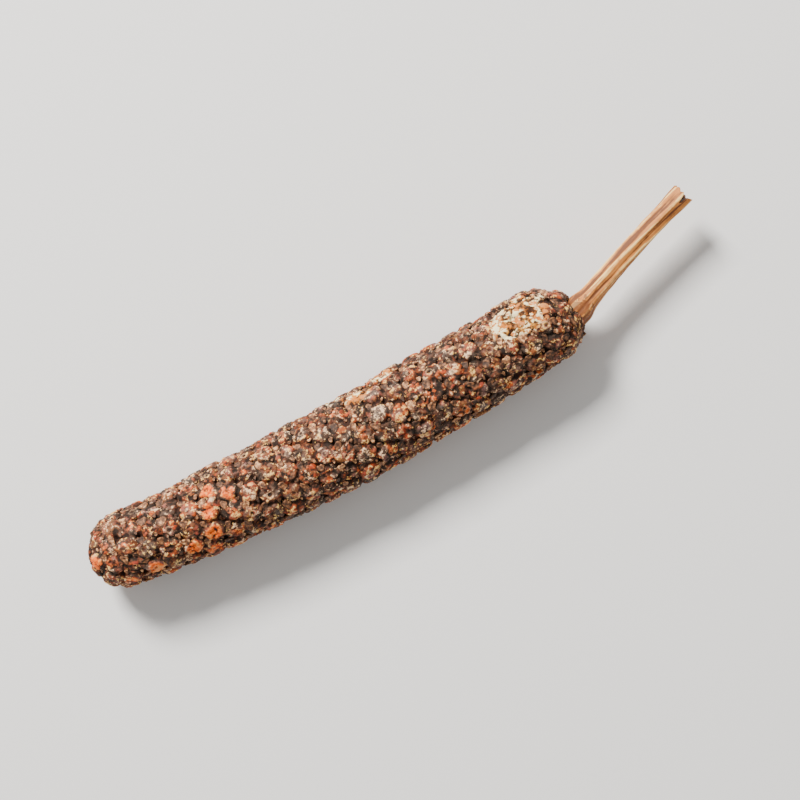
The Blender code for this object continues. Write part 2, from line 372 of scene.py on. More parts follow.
CHIPS = ((28.2, 57, 2.2 * MM, 1.2 * MM), (31.2, 69, 1.5 * MM, 0.8 * MM), (26.4, 83, 1.5 * MM, 0.7 * MM))
MARK_STEEPNESS = 1.6


def near(along, angle, mark_x, mark_angle, long, wide):
    """1 at a mark on the spike, falling to 0 at the edge of an ellipse round it."""
    x, radius = outline.at(along, "x", "radius")
    off_angle = np.angle(np.exp(1j * (angle - math.radians(mark_angle))))
    away = np.hypot((x - mark_x * MM) / long, radius * off_angle / wide)
    return np.clip(MARK_STEEPNESS * (1 - away), 0, 1)


def rusty_berries():
    rust = np.zeros(count)
    for x, turn, amount in RUST_SPOTS:
        along = np.interp(x * MM, outline.x, outline.along)
        away = np.linalg.norm(berry_place - straight_point(along, math.radians(turn)), axis=-1)
        rust[away.argmin()] = amount
    return rust


berry_rust = rusty_berries()
print(int((berry_rust > 0).sum()), "berries are rusty")

# %% [markdown]
# Dried skin is never smooth. It shrank into granules, small cushions with grooves round them, and
# Voronoi noise draws just such a net: near the border of two of its cells, their middles are equally far
# off. Plain lumps and a few winding folds go over that. A Displace modifier could push the skin about
# too, but it wouldn't tell the material where the grooves are. Anything finer than the mesh's own net is
# left to the material's bump.

# %% Granules, lumps and folds
GRANULE_SIZE = 0.60 * MM
GRANULE_HEIGHT = 0.065 * MM
GRANULE_EDGE = 0.30
SHADE_SPREAD = 7.3
NOISE_STRIDE = Vector((7.31, 3.77, 5.13))
LUMPS = ((1.00 * MM, 0.035 * MM), (0.46 * MM, 0.055 * MM), (0.27 * MM, 0.045 * MM))
FOLD_NOISE = (0.75 * MM, 4)
FOLD_DEPTH = 0.04 * MM
FOLD_WIDTH = 0.16


def smooth(value, low, high):
    """0 below low, 1 above high, and a smooth step between them."""
    share = np.clip((value - low) / (high - low), 0, 1)
    return share * share * (3 - 2 * share)


def lumps(places, size, seed):
    """Smooth noise from about -1 to 1, with bumps about size across."""
    return np.array([noise.noise(Vector(place) / size + NOISE_STRIDE * seed) for place in places])


def folds(places):
    """1 in narrow winding grooves, where smooth noise passes through nought, and 0 between them."""
    return 1 - smooth(np.abs(lumps(places, *FOLD_NOISE)), 0.0, FOLD_WIDTH)


def granules(places):
    """How far up its granule each place lies, from 0 in the groove to 1, and a shade for its granule."""
    height, shade = [], []
    for place in places:
        distances, middles = noise.voronoi(Vector(place) / GRANULE_SIZE)
        height.append(distances[1] - distances[0])
        shade.append(0.5 + 0.5 * noise.cell(SHADE_SPREAD * middles[0]))
    return smooth(np.array(height), 0.0, GRANULE_EDGE), np.array(shade)


print("a granule is about", round(GRANULE_SIZE / MM, 2), "mm across")

# %% [markdown]
# Balls stuck into a body would make a quick skin, but half of every ball would lie unseen inside. This
# skin is one closed sheet, made berry by berry. Each berry is a round net of rings, where each ring
# further out holds more points, and the outermost lies in the crease and is shared with the neighbours.
# The rings follow a round dome, which stops short of its own steep foot, because berries that press
# together meet before their sides are upright. A crease is as deep as the dome has fallen there, so the
# corners, being further out, are the deepest places of all.

# %% A berry's dome
DOME_RADIUS = math.sqrt(BERRY_AREA / math.pi)
DOME_HEIGHT = 0.80 * MM
DOME_REACH = 0.89
DOME_FOOT = 0.999
GULLY_DEPTH = 0.04 * MM


def dome(share):
    """How far a berry has dropped below its crown, at a share of its radius."""
    out = np.clip(DOME_REACH * share, 0, DOME_FOOT)
    return DOME_HEIGHT * (1 - np.sqrt(1 - out**2))


def crease_drop(spots):
    nearest = np.linalg.norm(place_on_skin(spots)[:, None] - berry_place[None], axis=-1).min(axis=1)
    return dome(nearest / DOME_RADIUS) + GULLY_DEPTH


print("a crease lies", round(dome(1.0) / MM, 2), "mm below the crowns")

# %% [markdown]
# Points are collected in batches in a small class. As a point is added it is lumped and rubbed, and what
# the material will ask for is kept beside it: how high it rises out of its crease and how high on its
# granule, the shades of its berry and of its granule, whether it is on the scar or in its pit, and how
# rusty or rubbed it is. These become attributes of the mesh. A painted image could say the same, but it
# would need the skin unwrapped.

# %% Collecting the skin
CREASE_LEVEL = 0.46 * MM
GRAIN_RANGE = 0.20 * MM
FRAY_NOISE = (0.50 * MM, 5)
RUBBED_FRAY = 0.5
CHIP_FRAY = 0.4
RUB_DEPTH = 0.16 * MM
RUB_EDGE = (0.1, 0.6)
WEAR_NOISE = (0.35 * MM, 6)
WEAR_UNEVEN = 0.25


class Skin:
    FACTS = ("rise", "tone", "shade", "scar", "pit", "rust", "rubbed", "grain")

    def __init__(self):
        self.spots = np.zeros(0, complex)
        self.drops = np.zeros(0)
        self.places = np.zeros((0, 3))
        self.faces = []
        self.facts = {name: np.zeros(0) for name in self.FACTS}

    def add_places(self, places, **facts):
        first = len(self.places)
        self.places = np.concatenate([self.places, places])
        for name in self.FACTS:
            values = np.broadcast_to(facts.get(name, 0.0), len(places))
            self.facts[name] = np.concatenate([self.facts[name], values])
        return np.arange(first, len(self.places))

    def add(self, spots, drops, **facts):
        self.spots = np.concatenate([self.spots, spots])
        self.drops = np.concatenate([self.drops, drops])
        along, angle = outline.from_map(spots)
        place = straight_point(along, angle)
        granule, shade = granules(place)
        grain_height = GRANULE_HEIGHT * (granule - 0.5) - FOLD_DEPTH * folds(place)
        for number, (size, depth) in enumerate(LUMPS):
            grain_height += depth * lumps(place, size, number + 1)
        drops = drops - grain_height
        rubbed = self.rubbed(place, along, angle)
        worn = RUB_DEPTH * smooth(rubbed, *RUB_EDGE) * (1 + WEAR_UNEVEN * lumps(place, *WEAR_NOISE))
        rise = np.clip(1 - drops / CREASE_LEVEL, 0, 1)
        drops = np.maximum(drops, worn)
        return self.add_places(bent_point(straight_point(along, angle, drops)), rise=rise, shade=shade,
                               rubbed=rubbed, grain=0.5 + grain_height / GRAIN_RANGE, **facts)

    def rubbed(self, place, along, angle):
        fray = lumps(place, *FRAY_NOISE)
        rubbed = near(along, angle, *RUBBED) * (1 + RUBBED_FRAY * fray)
        for chip in CHIPS:
            rubbed = np.maximum(rubbed, near(along, angle, *chip) * (1 + CHIP_FRAY * fray))
        return rubbed


print("the skin keeps", len(Skin.FACTS), "facts for each point")

# %% [markdown]
# First come the creases: a point at each corner, and a row of points between each two corners that meet.
# Each berry could make its own border and have the doubles merged afterwards. Here each row is kept
# under both its directions instead, so the second berry that asks for it gets the first one's points.

# %% The creases
NET_RINGS = 9
CREASE_TONE = 0.5


def round_pairs(ring):
    """Each item of a closed ring with the one after it."""
    return zip(ring, ring[1:] + ring[:1])


def make_creases(skin):
    used = sorted({corner for around in cells.values() for corner in around})
    at_corner = dict(zip(used, skin.add(corners[used], crease_drop(corners[used]), tone=CREASE_TONE)))
    between = {}
    share = np.arange(1, NET_RINGS) / NET_RINGS
    for around in cells.values():
        for start, end in round_pairs(around):
            if (start, end) in between:
                continue
            spots = corners[start] + share * (corners[end] - corners[start])
            if at_rim[start] and at_rim[end]:
                spots = outline.to_map(outline.rim, np.angle(spots))
            between[start, end] = skin.add(spots, crease_drop(spots), tone=CREASE_TONE)
            between[end, start] = between[start, end][::-1]
    return at_corner, between


skin = Skin()
at_corner, between = make_creases(skin)
print(len(at_corner), "corners and", len(between) // 2, "creases")

# %% [markdown]
# Then each berry fills its own cell, from the little scar where its stigma was, out to the creases. The
# net between them depends only on how many corners the berry has, so a few nets serve them all.

# %% The net of a berry
def berry_net(sides):
    """Each point's share of the way out and place along the border, and the triangles between them."""
    share, place, triangles = [0.0], [0.0], []
    first_inner, inner_size = 0, 1
    for ring in range(1, NET_RINGS + 1):
        first, size = len(share), sides * ring
        share += [ring / NET_RINGS] * size
        place += [step * NET_RINGS / ring for step in range(size)]
        for step in range(size):
            side, along_side = divmod(step, ring)
            inner = side * (ring - 1) + along_side
            inner_here, inner_after = [first_inner + point % inner_size for point in (inner, inner + 1)]
            here, after = first + step, first + (step + 1) % size
            triangles.append((inner_here, here, after))
            if along_side < ring - 1:
                triangles.append((inner_here, after, inner_after))
        first_inner, inner_size = first, size
    return np.array(share), np.array(place), np.array(triangles)


berry_nets = {sides: berry_net(sides) for sides in sorted({len(around) for around in cells.values()})}
print("berries have", list(berry_nets), "sides")

# %% [markdown]
# A berry's fallen-in top, its lean, its scar and the wrinkles round the scar could be sculpted by hand.
# With hundreds of berries they are small sums instead, added to the dome. They fade out before the
# border, where the berry has to meet its neighbours.

# %% One berry
SUNKEN_DEPTH = 0.27 * MM
SUNKEN_EDGE = (0.22, 0.62)
WRINKLE_DEPTH = 0.022 * MM
WRINKLE_EDGE = (0.2, 0.45)
BORDER_EDGE = (0.70, 1.0)
SCAR_FULL = 0.10 * MM
SCAR_RING_WIDTH = 0.35
SCAR_RING_SHARE = 0.45
SCAR_PIT_WIDTH = 0.62
RUST_FADE = (0.25, 0.95)


def round_border(values, place):
    """The values at places along a border, between its points too."""
    before = np.floor(place).astype(int)
    part = place - before
    return (1 - part) * values[before % len(values)] + part * values[(before + 1) % len(values)]


def make_berry(skin, index, number, border):
    centre = berries[number]
    spots = skin.spots[border]
    middle = centre + scar_shift[index] * np.exp(1j * scar_way[index]) * np.abs(spots - centre).mean()
    share, along_border, triangles = berry_nets[len(border) // NET_RINGS]
    share, along_border = share[:-len(border)], along_border[:-len(border)]
    spot = middle + share * (round_border(spots, along_border) - middle)
    crease = round_border(skin.drops[border], along_border)
    place = place_on_skin(spot)
    crown = place_on_skin(centre)
    radius = np.linalg.norm(place_on_skin(spots) - crown, axis=-1).mean()
    away = np.linalg.norm(place - crown, axis=-1) / radius
    scar = np.linalg.norm(place - place[0], axis=-1) / scar_size[index]
    scar_ring = np.exp(-(((scar - 1.0) / SCAR_RING_WIDTH) ** 2)) * scar_depth[index]
    scar_pit = np.exp(-((scar / SCAR_PIT_WIDTH) ** 2)) * scar_depth[index]
    wrinkles = np.cos(wrinkle_count[index] * np.angle(spot - middle) + wrinkle_way[index])
    fall = dome(away) - swell[index] + scar_pit - SCAR_RING_SHARE * scar_ring
    fall += SUNKEN_DEPTH * sunken[index] * (1 - smooth(away, *SUNKEN_EDGE))
    fall += lean[index] * away * np.cos(np.angle(spot - centre) - lean_way[index])
    fall += WRINKLE_DEPTH * wrinkles * smooth(share, *WRINKLE_EDGE)
    to_border = smooth(share, *BORDER_EDGE)
    points = skin.add(spot, fall * (1 - to_border) + crease * to_border, tone=tone[index],
                      scar=scar_ring / SCAR_FULL, pit=scar_pit / SCAR_FULL,
                      rust=berry_rust[index] * (1 - smooth(away, *RUST_FADE)))
    skin.faces.extend(np.append(points, border)[triangles].tolist())


def border_of(ring):
    """The points along the creases that join a closed ring of corners."""
    return [point for start, end in round_pairs(ring) for point in (at_corner[start], *between[start, end])]


for index, (number, around) in enumerate(cells.items()):
    make_berry(skin, index, number, np.array(border_of(around)))
print("the berries' skin has", len(skin.faces), "triangles so far")

# %% [markdown]
# The last berries leave a round opening where the stalk comes out. It could be closed by one flat face,
# but the stalk would cut through that in a sharp line. Two more rings carry its edge inward and down
# instead, so that the skin ends unseen, inside the stalk's foot.

# %% The edge round the stalk
TUCKS = ((0.78, 0.10 * MM), (0.30, 0.50 * MM))


def join_rings(lower, upper):
    """Faces between two closed rings with as many points each."""
    return [(here, after, above_after, above_here) for (here, after), (above_here, above_after)
            in zip(round_pairs(lower), round_pairs(upper))]


def tuck_in(skin):
    sides = {side for around in cells.values() for side in round_pairs(around)}
    after = {start: end for start, end in sides if (end, start) not in sides}
    ring = [min(after)]
    while after[ring[-1]] != ring[0]:
        ring.append(after[ring[-1]])
    outer = border_of(ring)
    edge = skin.places[outer]
    for share, depth in TUCKS:
        places = mouth + share * (edge - mouth) - depth * stalk_way
        inner = skin.add_places(places, tone=CREASE_TONE).tolist()
        skin.faces.extend(join_rings(outer, inner))
        outer = inner
    return len(edge)


print("the stalk's opening has", tuck_in(skin), "points round it")

# %% [markdown]
# What was collected becomes a mesh in one call, which is far quicker than adding hundreds of thousands
# of faces through operators. The facts go with it as attributes, and the piece rides on the packed
# model's one body.

# %% The skin as a piece
def add_piece(name, places, faces, facts, slot):
    """Makes an object of the points, in place and lying on the floor, with the facts as attributes."""
    places = np.asarray(places) + shift
    places[:, 2] = np.maximum(places[:, 2], 0)
    mesh = bpy.data.meshes.new(name)
    mesh.from_pydata(places.tolist(), [], [tuple(int(point) for point in face) for face in faces])
    for fact, values in facts.items():
        values = np.asarray(values, dtype=float)
        kind, field = ("FLOAT_VECTOR", "vector") if values.ndim == 2 else ("FLOAT", "value")
        mesh.attributes.new(fact, kind, "POINT").data.foreach_set(field, values.ravel())
    mesh.shade_smooth()
    piece = bpy.data.objects.new(name, mesh)
    bpy.context.scene.collection.objects.link(piece)
    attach(piece, "root")
    triangles = sum(len(face) - 2 for face in faces)
    print(name, "has", len(places), "points and", triangles, "triangles")
    return piece


spike = add_piece("berry_skin", skin.places, skin.faces, skin.facts, "dried_berries")
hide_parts("berry_spike")

# %% [markdown]
# Each flower of the spike stood under a tiny round scale, its bract. The scales are still there, wedged
# into the corners on the berries' stalk side, and crumbs of skin are caught in the other corners. They
# are what makes the creases look grainy. Bump alone could darken the creases, but it would throw no
# shadow. One scale is a small saucer with a wavy edge and a root that runs down into the crease, tipped
# at random, and the berries hide most of it. A loop makes one for every corner but those close to the
# stalk, where they would stand free.

# %% One scale
SCALE_SIDES = 12
SCALE_PROFILE = ((1.00, -0.06), (0.86, 0.18), (0.50, 0.06), (0.0, 0.04))
SCALE_WAVE = 0.17
SCALE_LEVEL = 0.64
SCALE_ROOT = 0.15 * MM
SCALE_LUMPS = 0.07 * MM
SCALE_NOISE = (0.3 * MM, 8)
STEP = 0.01 * MM
scale_turn = math.tau * np.arange(SCALE_SIDES) / SCALE_SIDES


def local_axes(along, angle, drop):
    """A point on the bent skin and the three directions there: along it, round it and out of it."""
    radius = outline.at(along, "radius")
    corner = [(along, angle), (along + STEP, angle), (along, angle + STEP / radius)]
    here, ahead, beside = [bent_point(straight_point(*spot, drop)) for spot in corner]
    lengthwise = (ahead - here) / np.linalg.norm(ahead - here)
    crosswise = (beside - here) / np.linalg.norm(beside - here)
    return here, lengthwise, crosswise, np.cross(lengthwise, crosswise)


def scale_places(along, angle, depth, size, wide, tip, way, wave):
    """The points of one scale, from its edge to its middle, and the point of its root."""
    here, lengthwise, crosswise, outward = local_axes(along, angle, SCALE_LEVEL * depth)
    profile = [(share, height * size) for share, height in SCALE_PROFILE]
    places = []
    for share, height in (*profile, (0.0, (SCALE_LEVEL - 1) * depth - SCALE_ROOT)):
        reach = share * size * (1 + SCALE_WAVE * wave)
        lift = height + tip * share * size * np.cos(scale_turn - way)
        ring = here + np.outer(reach * np.cos(scale_turn + way), lengthwise)
        ring += np.outer(wide * reach * np.sin(scale_turn + way), crosswise) + np.outer(lift, outward)
        ring += np.outer(SCALE_LUMPS * lumps(ring, *SCALE_NOISE), outward)
        places.extend(ring if share else ring[:1])
    return places


def scale_faces(first):
    """The faces of one scale, whose points begin at first."""
    points = list(range(first, first + SCALE_SIDES * (len(SCALE_PROFILE) - 1)))
    rings = [points[start:start + SCALE_SIDES] for start in range(0, len(points), SCALE_SIDES)]
    top = points[-1] + 1
    root = top + 1
    faces = [face for lower, upper in zip(rings, rings[1:]) for face in join_rings(lower, upper)]
    faces += [(here, after, top) for here, after in round_pairs(rings[-1])]
    return faces + [(after, here, root) for here, after in round_pairs(rings[0])]


print("a scale has", len(scale_faces(0)), "faces")

# %% [markdown]
# The loop draws each corner's numbers before it asks whether a scale belongs there. So a scale that is
# left out changes none of the others.

# %% The scales in the corners
SCALE_SIZE = (0.30 * MM, 0.46 * MM)
CRUMB_SIZE = (0.12 * MM, 0.22 * MM)
SCALE_WIDE = (1.0, 1.4)
SCALE_TIP = (-0.30, 0.30)
EDGE_JITTER = 0.5
RIM_CLEAR = 1.8 * MM


def make_scales():
    rng = np.random.default_rng(SEED + 3)
    places, faces, tones, rubs = [], [], [], []
    towards_stalk = {max(around, key=lambda one: abs(corners[one])) for around in cells.values()}
    for corner in at_corner:
        size = rng.uniform(*(SCALE_SIZE if corner in towards_stalk else CRUMB_SIZE))
        wide = rng.uniform(*SCALE_WIDE)
        tip = rng.uniform(*SCALE_TIP)
        way = rng.uniform(0, math.tau)
        dark = rng.random()
        wave = np.sin(2 * scale_turn + 7 * way) + np.sin(3 * scale_turn + 3 * way)
        wave += rng.normal(0, EDGE_JITTER, SCALE_SIDES)
        along, angle = outline.from_map(corners[corner])
        if along > outline.rim - RIM_CLEAR:
            continue
        depth = crease_drop(corners[[corner]])[0]
        scale = scale_places(along, angle, depth, size, wide, tip, way, wave)
        faces.extend(scale_faces(len(places)))
        places.extend(scale)
        tones.extend([dark] * len(scale))
        rubs.extend([near(along, angle, *RUBBED)] * len(scale))
    return places, faces, {"tone": tones, "rubbed": rubs}


scales = add_piece("flower_scales", *make_scales(), "dried_berries")

# %% [markdown]
# The stalk is a thin woody stem that shrank as it dried, so its fibres stand out as ribs. A bevelled
# curve would be round all the way. A grid of points round the stalk's bowed line can take the packed
# model's six broad ribs and add finer ones, which wander a little. Its foot spreads over the berries. At
# the other end it was torn off, and two notches leave two splinters round a hollow, painted dark as shade.

# %% The stalk's sides
FINE_START = -0.9 * MM
ROUND_POINTS = 84
LONG_POINTS = 150
FINE_RIBS = ((13, 0.030 * MM), (22, 0.018 * MM))
RIB_WANDER = ((0.5, 2.3 * MM, 1), (0.3, 0.9 * MM, 2))
RIDGE_LEVEL = 0.6
FINE_RIB_TONE = 0.4
FOOT_SPREAD = 0.24 * MM
FOOT_SPREAD_REACH = 0.8 * MM
SPLINTER = 1.1 * MM
NOTCHES = 2
NOTCH_AT = math.radians(75.0)
NOTCH_SHARPNESS = 5
NOTCH_SHARE = 0.8
FRAYS = 9
FRAY_START = 1.0
FRAY_SHARE = 0.1
STALK_LUMPS = 0.045 * MM
STALK_NOISE = (0.8 * MM, 9)
LUMPS_DRAWN_OUT = 1.5
stalk_angle = math.tau * np.arange(ROUND_POINTS) / ROUND_POINTS


def torn_end():
    """How far the stalk reaches at each angle."""
    notch = np.clip(np.cos(NOTCHES * (stalk_angle - NOTCH_AT)), 0, 1) ** NOTCH_SHARPNESS
    fray = 1 + np.cos(FRAYS * stalk_angle + FRAY_START)
    return STALK_LENGTH - SPLINTER * (NOTCH_SHARE * notch + FRAY_SHARE * fray)


def stalk_lumps(reach, around):
    places = np.stack([MM * np.cos(around), MM * np.sin(around), reach / LUMPS_DRAWN_OUT], axis=-1)
    return STALK_LUMPS * lumps(places.reshape(-1, 3), *STALK_NOISE).reshape(reach.shape)


def stalk_sides():
    """Each point's reach and radius, and how far it stands out as a rib."""
    reach = FINE_START + np.linspace(0, 1, LONG_POINTS)[:, None] * (torn_end() - FINE_START)
    around = np.broadcast_to(stalk_angle, reach.shape)
    radius = stalk_radius(reach, around)
    rib = np.cos(STALK_RIBS * around) * 0.5 + 0.5
    for ribs, depth in FINE_RIBS:
        wander = sum(turn * np.sin(reach / length + start * ribs) for turn, length, start in RIB_WANDER)
        ridge = np.abs(np.cos(ribs * around / 2 + wander)) - RIDGE_LEVEL
        radius = radius + depth * ridge
        rib = rib + FINE_RIB_TONE * ridge
    radius = radius + FOOT_SPREAD * np.exp(-(np.maximum(reach, 0) / FOOT_SPREAD_REACH) ** 2)
    return reach, radius + stalk_lumps(reach, around), rib


print("the splinters run out over", round(np.ptp(torn_end()) / MM, 2), "mm")

# %% [markdown]
# The hollow at the end could be cut out with a Boolean, but a few rings that turn inward from the torn
# rim are lighter and stay clean. They are marked as cut, so that the finish can paint them dark as the
# shade inside the hollow.

# %% The whole stalk
HOLLOW = ((0.78, 0.06 * MM, 0.47), (0.55, 0.30 * MM, 0.95), (0.25, 0.75 * MM, 1.0))
BROWN_REACH = 1.6 * MM


def make_stalk():
    reach, radius, rib = stalk_sides()
    rings = [(reach, radius, rib, np.zeros(reach.shape))]
    for inward, deeper, cut in HOLLOW:
        deep = reach[-1:] - deeper
        rings.append((deep, radius[-1:] * inward, np.zeros(deep.shape), np.full(deep.shape, cut)))
    reach, radius, rib, cut = [np.concatenate(parts) for parts in zip(*rings)]
    around = np.broadcast_to(stalk_angle, reach.shape)
    places = stalk_point(reach.ravel(), around.ravel(), radius.ravel())
    fibre = np.stack([radius * np.cos(around), radius * np.sin(around), reach], axis=-1).reshape(-1, 3) / MM
    grid = np.arange(reach.size).reshape(reach.shape).tolist()
    faces = [face for lower, upper in zip(grid, grid[1:]) for face in join_rings(lower, upper)]
    faces += [grid[0][::-1], grid[-1]]
    foot = np.exp(-np.maximum(reach, 0) / BROWN_REACH)
    return places, faces, {"fibre": fibre, "rib": rib.ravel(), "cut": cut.ravel(), "foot": foot.ravel()}


stalk = add_piece("stalk_stem", *make_stalk(), "dry_stalk")
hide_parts("stalk")

# %% [markdown]
# A material is a net of nodes, but what it says is mostly sums: this colour where the mask is high, that
# bump less an eighth. Nodes could be added and wired one by one. A small class lets such sums be written
# as Python instead. It wraps one output of a node, and its operators add the Math node, or for colours
# and vectors the Vector Math node, that works them out. Everything else goes through one method, which
# takes a node's type, its settings and what its inputs get. A Mix node has inputs for each kind of
# value, and the class names those that it has for colours.

# %% Shader sums
class Wire:
    """One output of a shader node, on which Python's operators work."""

    MIX_FACTOR = 0
    MIX_FIRST = 6
    MIX_SECOND = 7
    MIX_RESULT = 2

    def __init__(self, tree, socket=None):
        self.tree = tree
        self.socket = socket

    def node(self, kind, settings=None, inputs=None, output=0):
        """Adds a node, sets its settings or ramp stops first, and gives each input a value or a wire."""
        made = self.tree.nodes.new("ShaderNode" + kind)
        settings = dict(settings or {})
        for place, colour in settings.pop("stops", ()):
            stops = made.color_ramp.elements
            stop = stops[0] if place == 0 else stops[-1] if place == 1 else stops.new(place)
            stop.color = (*colour, 1)
        for name, value in settings.items():
            setattr(made, name, value)
        for name, value in (inputs or {}).items():
            if isinstance(value, Wire):
                self.tree.links.new(value.socket, made.inputs[name])
            else:
                made.inputs[name].default_value = value
        return Wire(self.tree, made.outputs[output])

    def sum(self, operation, first, second):
        flat = all(not isinstance(one, Wire) or one.socket.type == "VALUE" for one in (first, second))
        if flat:
            return self.node("Math", {"operation": operation}, {0: first, 1: second})
        first, second = [one if isinstance(one, Wire) else (one,) * 3 for one in (first, second)]
        return self.node("VectorMath", {"operation": operation}, {0: first, 1: second})

    def __add__(self, other):
        return self.sum("ADD", self, other)

    def __radd__(self, other):
        return self.sum("ADD", other, self)

    def __sub__(self, other):
        return self.sum("SUBTRACT", self, other)

    def __rsub__(self, other):
        return self.sum("SUBTRACT", other, self)

    def __mul__(self, other):
        return self.sum("MULTIPLY", self, other)

    def __rmul__(self, other):
        return self.sum("MULTIPLY", other, self)

    def between(self, low, high):
        """0 below low, 1 above high, and a smooth step between them."""
        return self.node("MapRange", {"interpolation_type": "SMOOTHSTEP"},
                         {"Value": self, "From Min": low, "From Max": high})

    def toward(self, colour, amount):
        """This colour, mixed towards another one by an amount from 0 to 1."""
        other = colour if isinstance(colour, Wire) else (*colour, 1)
        inputs = {self.MIX_FACTOR: amount, self.MIX_FIRST: self, self.MIX_SECOND: other}
        return self.node("Mix", {"data_type": "RGBA"}, inputs, self.MIX_RESULT)


print("a wire can be added, taken away, multiplied, stepped and mixed")

# %% [markdown]
# The finishes share a few helpers. One starts a material and hands back its shader. Others ask for a
# mesh attribute, for the place in millimetres, for noise of a given size, for a colour and for a ramp of
# colours. The last two add up noises and turn relief into bump.

# %% Helpers for finishes
def new_material(name, piece):
    material = bpy.data.materials.new(name)
    material.use_nodes = True
    piece.data.materials.append(material)
    return Wire(material.node_tree), material.node_tree.nodes["Principled BSDF"]


def connect(wire, shader, name):
    wire.tree.links.new(wire.socket, shader.inputs[name])


def attribute(net, name, output="Fac"):
    return net.node("Attribute", {"attribute_name": name}, output=output)


def place_in_mm(net):
    return net.node("TexCoord", output="Object") * (1 / MM)


def grain(net, place, size, detail=2.0, roughness=0.55):
    """Noise from 0 to 1 whose bumps are about size millimetres across."""
    return net.node("TexNoise", inputs={"Vector": place, "Scale": 0.5 / size, "Detail": detail,
                                        "Roughness": roughness})


def plain(net, colour):
    picked = net.node("RGB")
    picked.socket.default_value = (*colour, 1)
    return picked


def ramp(net, stops, place):
    return net.node("ValToRGB", {"stops": stops}, {0: place})


def uneven(*shares):
    """Wires that go from 0 to 1, added up round nought, each with its share."""
    first, *others = [share * (wire - 0.5) for wire, share in shares]
    return sum(others, first)


def add_bump(net, shader, relief, depth):
    bump = net.node("Bump", inputs={"Strength": 1.0, "Distance": depth, "Height": relief})
    connect(bump, shader, "Normal")


# %% [markdown]
# The berries' finish begins with what it can look up: the facts that the mesh carries, and noises of
# several sizes. One sum of them, the level, says how high each spot seems to lie, roughened by the
# noises. Nearly every colour asks for it, and much of the skin is painted darker where the level is low,
# as painted shade. A plain gradient would leave clean rings round each berry.

# %% What the berries' finish looks up
SKIN_NOISES = {"broad": (3.2, 2.0, 0.55, 0.0), "patchy": (1.3, 3.0, 0.55, 40.0),
               "drift": (0.55, 2.0, 0.55, 60.0), "middle": (0.36, 3.0, 0.6, 0.0),
               "fine": (0.18, 3.0, 0.7, 20.0), "finest": (0.08, 2.0, 0.55, 0.0)}
LEVEL_SHARE = 0.36
LEVEL_START = -0.06


def look_up_skin(net):
    """All that the finish asks for, by name. A noise has a size, a detail, a roughness and a shift."""
    place = place_in_mm(net)
    look = SimpleNamespace(**{fact: attribute(net, fact) for fact in Skin.FACTS})
    for name, (size, detail, roughness, moved) in SKIN_NOISES.items():
        setattr(look, name, grain(net, place + moved, size, detail, roughness))
    roughened = uneven((look.grain, 0.60), (look.middle, 0.75), (look.fine, 1.0))
    look.level = LEVEL_SHARE * look.rise + LEVEL_START + roughened
    return look


# %% [markdown]
# The skin is painted from the crease up, and the lower a spot lies, the darker it is painted, much of it as
# painted shade. The crease holds dust and is painted almost black, mostly as painted shade, and the flanks
# are a deep red brown, darkened as painted shade too. Each crown has its berry's own colour, and its
# granules are lighter and darker. The highest spots are paler and greyer, partly because handling wears
# them and partly as a painted highlight on the tops. A slow drift of hue lies over it all.

# %% Crease, flank and crown
# painted shade: the crease colour stands for dust and for the shade that falls in the creases
CREASE_DUST_AND_SHADE = (0.026, 0.010, 0.004)
FLANK = (0.092, 0.033, 0.014)
FLANK_LEVEL = (-0.10, 0.12)
BERRY_COLOURS = ((0.0, (0.100, 0.053, 0.034)), (0.25, (0.17, 0.078, 0.045)), (0.45, (0.27, 0.085, 0.058)),
                 (0.65, (0.33, 0.090, 0.020)), (0.85, (0.28, 0.044, 0.018)), (1.0, (0.13, 0.074, 0.048)))
CROWN_LEVEL = (0.05, 0.28)
BLOOM_AND_HIGHLIGHT = (0.56, 0.225, 0.112)
BLOOM_HIGHLIGHT_LEVEL = (0.36, 0.72)
BLOOM_HIGHLIGHT_MOST = 0.75
HUE_DRIFT = ((0.0, (0.74, 1.00, 1.26)), (0.40, (1.0, 1.0, 1.0)), (0.70, (1.10, 0.80, 0.80)),
             (1.0, (1.34, 0.82, 0.30)))
DRIFT_EDGE = (0.32, 0.68)


def skin_colour(net, look):
    # darker low down, as painted shade: crease colour in the creases, flank colour above them
    colour = plain(net, CREASE_DUST_AND_SHADE).toward(FLANK, look.level.between(*FLANK_LEVEL))
    crown = ramp(net, BERRY_COLOURS, look.tone + uneven((look.patchy, 0.4), (look.shade, 0.5)))
    crown = crown * (0.50 + 0.55 * look.broad + 0.47 * look.shade)
    colour = colour.toward(crown, look.level.between(*CROWN_LEVEL))
    # paler, greyer tops: partly worn skin, partly a painted highlight on the highest spots
    bloom_and_highlight = (look.level + uneven((look.patchy, 0.3))).between(*BLOOM_HIGHLIGHT_LEVEL)
    colour = colour.toward(BLOOM_AND_HIGHLIGHT, bloom_and_highlight * BLOOM_HIGHLIGHT_MOST)
    drift = (look.drift + uneven((look.shade, 0.30))).between(*DRIFT_EDGE)
    return colour * ramp(net, HUE_DRIFT, drift)


# %% [markdown]
# Rust comes before the specks, so that both show on a rusty berry. It spreads unevenly, and it is painted
# brightest where the level is high and deeper where it is low, as painted light and shade. The specks sit
# on the raised spots of the bump and are cream on some granules and golden on others, partly pale grains
# and partly painted glints. Small dark pits lie between them in the low spots, partly pits and partly
# painted shade, and the scar gets a dark middle and a pale ring.

